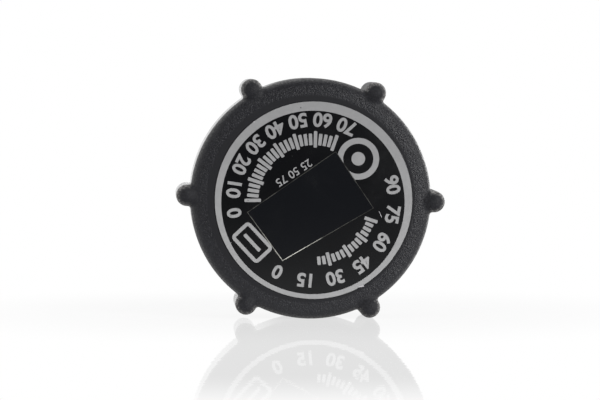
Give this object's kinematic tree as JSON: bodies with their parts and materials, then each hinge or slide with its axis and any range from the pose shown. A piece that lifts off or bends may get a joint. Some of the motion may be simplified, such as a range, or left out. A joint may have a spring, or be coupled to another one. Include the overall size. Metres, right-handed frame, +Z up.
{
  "type": "expansion tank cap",
  "caption": "Round black screw cap with ball-nosed finger lugs, a round face label, an inner thread, and a swivelling valve insert with pressure and vacuum valves.",
  "frame": {"origin": "centre of the open mouth, in the plane of the rim, on the cap's axis", "axes": "+Y along the cap's axis, out of the open mouth; the face looks along -Y; +Z up, as the cap stands on its rim"},
  "size_m": [0.0674, 0.024, 0.06],
  "materials": {
    "cap_plastic": "black moulded nylon with a fine spark-eroded grain",
    "label_film": "satin black film with light grey print",
    "patch_tape": "smooth bluish black tape",
    "housing_plastic": "smooth black moulded nylon",
    "ring_rubber": "smooth moulded rubber",
    "seal_rubber": "matt moulded rubber",
    "spring_steel": "drawn stainless wire",
    "valve_brass": "pressed brass, lightly tarnished"
  },
  "bodies": {
    "cap": {"grip_cap": "cap_plastic", "label_disc": "label_film", "cover_patch": "patch_tape"},
    "insert": {"valve_housing": "housing_plastic", "neck_ring": "ring_rubber", "spring_plate": "housing_plastic", "pressure_spring": "spring_steel"},
    "pressure_valve": {"pressure_plate": "valve_brass", "pressure_seal": "seal_rubber", "seal_washer": "valve_brass", "seal_eyelet": "valve_brass", "vacuum_spring": "spring_steel"},
    "vacuum_valve": {"vacuum_disc": "valve_brass", "vacuum_stem": "valve_brass", "vacuum_keeper": "valve_brass"}
  },
  "joints": [
    {"name": "insert_swivel", "type": "hinge", "parent": "cap", "child": "insert", "pos_m": [0, 0, 0], "axis": [0, 1, 0], "continuous": true},
    {"name": "pressure_lift", "type": "slide", "parent": "insert", "child": "pressure_valve", "axis": [0, -1, 0], "range_m": [0, 0.002], "stiffness_N_per_m": 2200, "springref_m": -0.008, "deforming": ["pressure_spring"]},
    {"name": "vacuum_open", "type": "slide", "parent": "pressure_valve", "child": "vacuum_valve", "axis": [0, 1, 0], "range_m": [0, 0.0015], "stiffness_N_per_m": 150, "springref_m": -0.002, "deforming": ["vacuum_spring"]}
  ]
}
